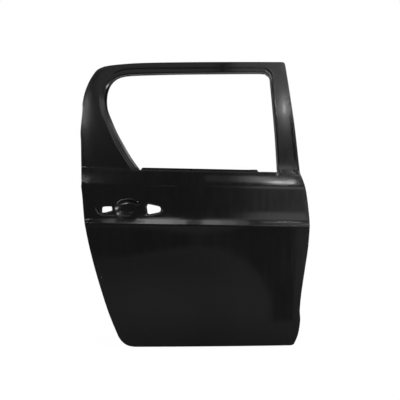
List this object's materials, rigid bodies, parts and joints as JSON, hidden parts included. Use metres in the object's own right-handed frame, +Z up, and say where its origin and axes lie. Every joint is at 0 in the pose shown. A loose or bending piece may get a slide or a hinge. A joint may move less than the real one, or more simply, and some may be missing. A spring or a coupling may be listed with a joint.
{
  "type": "vehicle rear side door shell",
  "caption": "Bare pressed-steel right rear side door shell of a double-cab pickup, with window frame, handle recess, service openings, impact beam and reinforcements.",
  "frame": {"origin": "centre of the upper hinge's flat mounting face on the front end of the door", "axes": "+X forward, out of the hinge faces; +Y inboard, towards the cabin; +Z up"},
  "size_m": [0.9801, 0.2545, 1.2326],
  "materials": {
    "outer_coat": "satin black primer on pressed steel",
    "inner_coat": "satin black primer on pressed steel",
    "plate_coat": "satin black primer on steel plate",
    "mastic": "matt expanded mastic"
  },
  "bodies": {
    "root": {"outer_panel": "outer_coat", "inner_panel": "inner_coat", "inner_hinge_side": "inner_coat", "inner_frame": "inner_coat", "header_run_channel": "plate_coat", "front_run_channel": "plate_coat", "front_lower_guide": "plate_coat", "rear_lower_guide": "plate_coat", "front_guide_bracket": "plate_coat", "rear_guide_bracket": "plate_coat", "outer_belt_reinforcement": "plate_coat", "inner_belt_reinforcement": "plate_coat", "impact_beam": "plate_coat", "beam_front_bracket": "plate_coat", "beam_rear_bracket": "plate_coat", "beam_mastic_pads": "mastic", "upper_hinge_reinforcement": "plate_coat", "lower_hinge_reinforcement": "plate_coat", "upper_hinge_nut_plate": "plate_coat", "lower_hinge_nut_plate": "plate_coat", "check_reinforcement": "plate_coat", "latch_reinforcement": "plate_coat", "handle_reinforcement": "plate_coat", "regulator_reinforcement": "plate_coat", "armrest_bracket": "plate_coat"}
  },
  "joints": []
}
